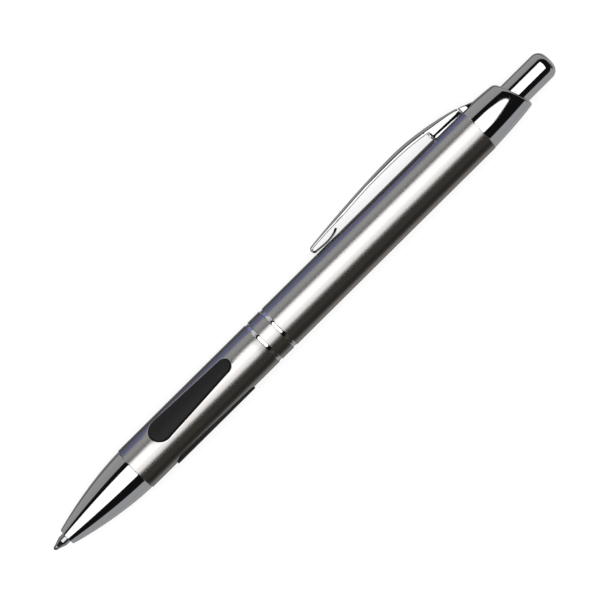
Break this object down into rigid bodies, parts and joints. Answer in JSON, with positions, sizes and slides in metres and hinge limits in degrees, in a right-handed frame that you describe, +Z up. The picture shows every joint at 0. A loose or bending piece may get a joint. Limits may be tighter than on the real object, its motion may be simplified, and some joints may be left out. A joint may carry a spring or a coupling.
{
  "type": "retractable ballpoint pen",
  "caption": "Metal click ballpoint pen with rubber grip insets, chrome nose cone, stamped pocket clip, slanted cap and push button.",
  "frame": {"origin": "on the pen's axis, at the middle of the push button's flat end with the point out", "axes": "+X along the pen's axis from the writing tip to the push button, +Y towards the pocket clip, +Z up with the clip lying to the side"},
  "size_m": [0.14, 0.0141, 0.0108],
  "materials": {
    "satin_barrel": "satin lacquered",
    "chrome": "polished",
    "steel": "bright",
    "brass": "turned",
    "rubber": "matt",
    "plastic": "moulded"
  },
  "bodies": {
    "root": {"upper_barrel": "satin_barrel", "end_cap": "chrome", "guide_sleeve": "plastic", "thread_bush": "brass"},
    "centre_ring": {"centre_ring": "satin_barrel"},
    "lower_half": {"lower_barrel": "satin_barrel", "nose_cone": "chrome", "grip_pad_front": "rubber", "grip_pad_side": "rubber", "grip_pad_back": "rubber", "grip_liner": "plastic", "threaded_coupling": "brass", "return_spring": "steel"},
    "refill": {"refill_tube": "steel", "refill_tail": "plastic", "refill_neck": "brass", "refill_point": "steel"},
    "writing_ball": {"writing_ball": "steel"},
    "button": {"push_button": "chrome", "plunger": "plastic"},
    "cam_rotor": {"cam_rotor": "plastic"},
    "pocket_clip": {"pocket_clip": "chrome"}
  },
  "joints": [
    {"name": "ring_advance", "type": "slide", "parent": "root", "child": "centre_ring", "axis": [-1, 0, 0], "range_m": [0, 0.004]},
    {"name": "lower_half_unscrew", "type": "hinge", "parent": "centre_ring", "child": "lower_half", "pos_m": [-0.0787, 0, 0], "axis": [-1, 0, 0], "range_deg": [0, 1800]},
    {"name": "refill_slide", "type": "slide", "parent": "lower_half", "child": "refill", "axis": [-1, 0, 0], "range_m": [-0.0043, 0.0012], "deforming": ["return_spring"]},
    {"name": "ball_roll", "type": "hinge", "parent": "refill", "child": "writing_ball", "pos_m": [-0.13965, 0, 0], "axis": [0, 0, 1], "continuous": true},
    {"name": "button_press", "type": "slide", "parent": "root", "child": "button", "axis": [-1, 0, 0], "range_m": [-0.0043, 0.0012]},
    {"name": "rotor_slide", "type": "slide", "parent": "root", "child": "cam_rotor", "axis": [-1, 0, 0], "range_m": [-0.0043, 0.0012]},
    {"name": "clip_flex", "type": "hinge", "parent": "root", "child": "pocket_clip", "pos_m": [-0.02012, 0.0053, 0], "axis": [0, 0, -1], "range_deg": [0, 5], "stiffness_Nm_per_rad": 0.1}
  ],
  "couplings": [
    {"joint": "lower_half_unscrew", "follows": "ring_advance", "rad_per_m": 7853.9},
    {"joint": "refill_slide", "follows": "button_press", "ratio": 1},
    {"joint": "rotor_slide", "follows": "button_press", "ratio": 1}
  ]
}
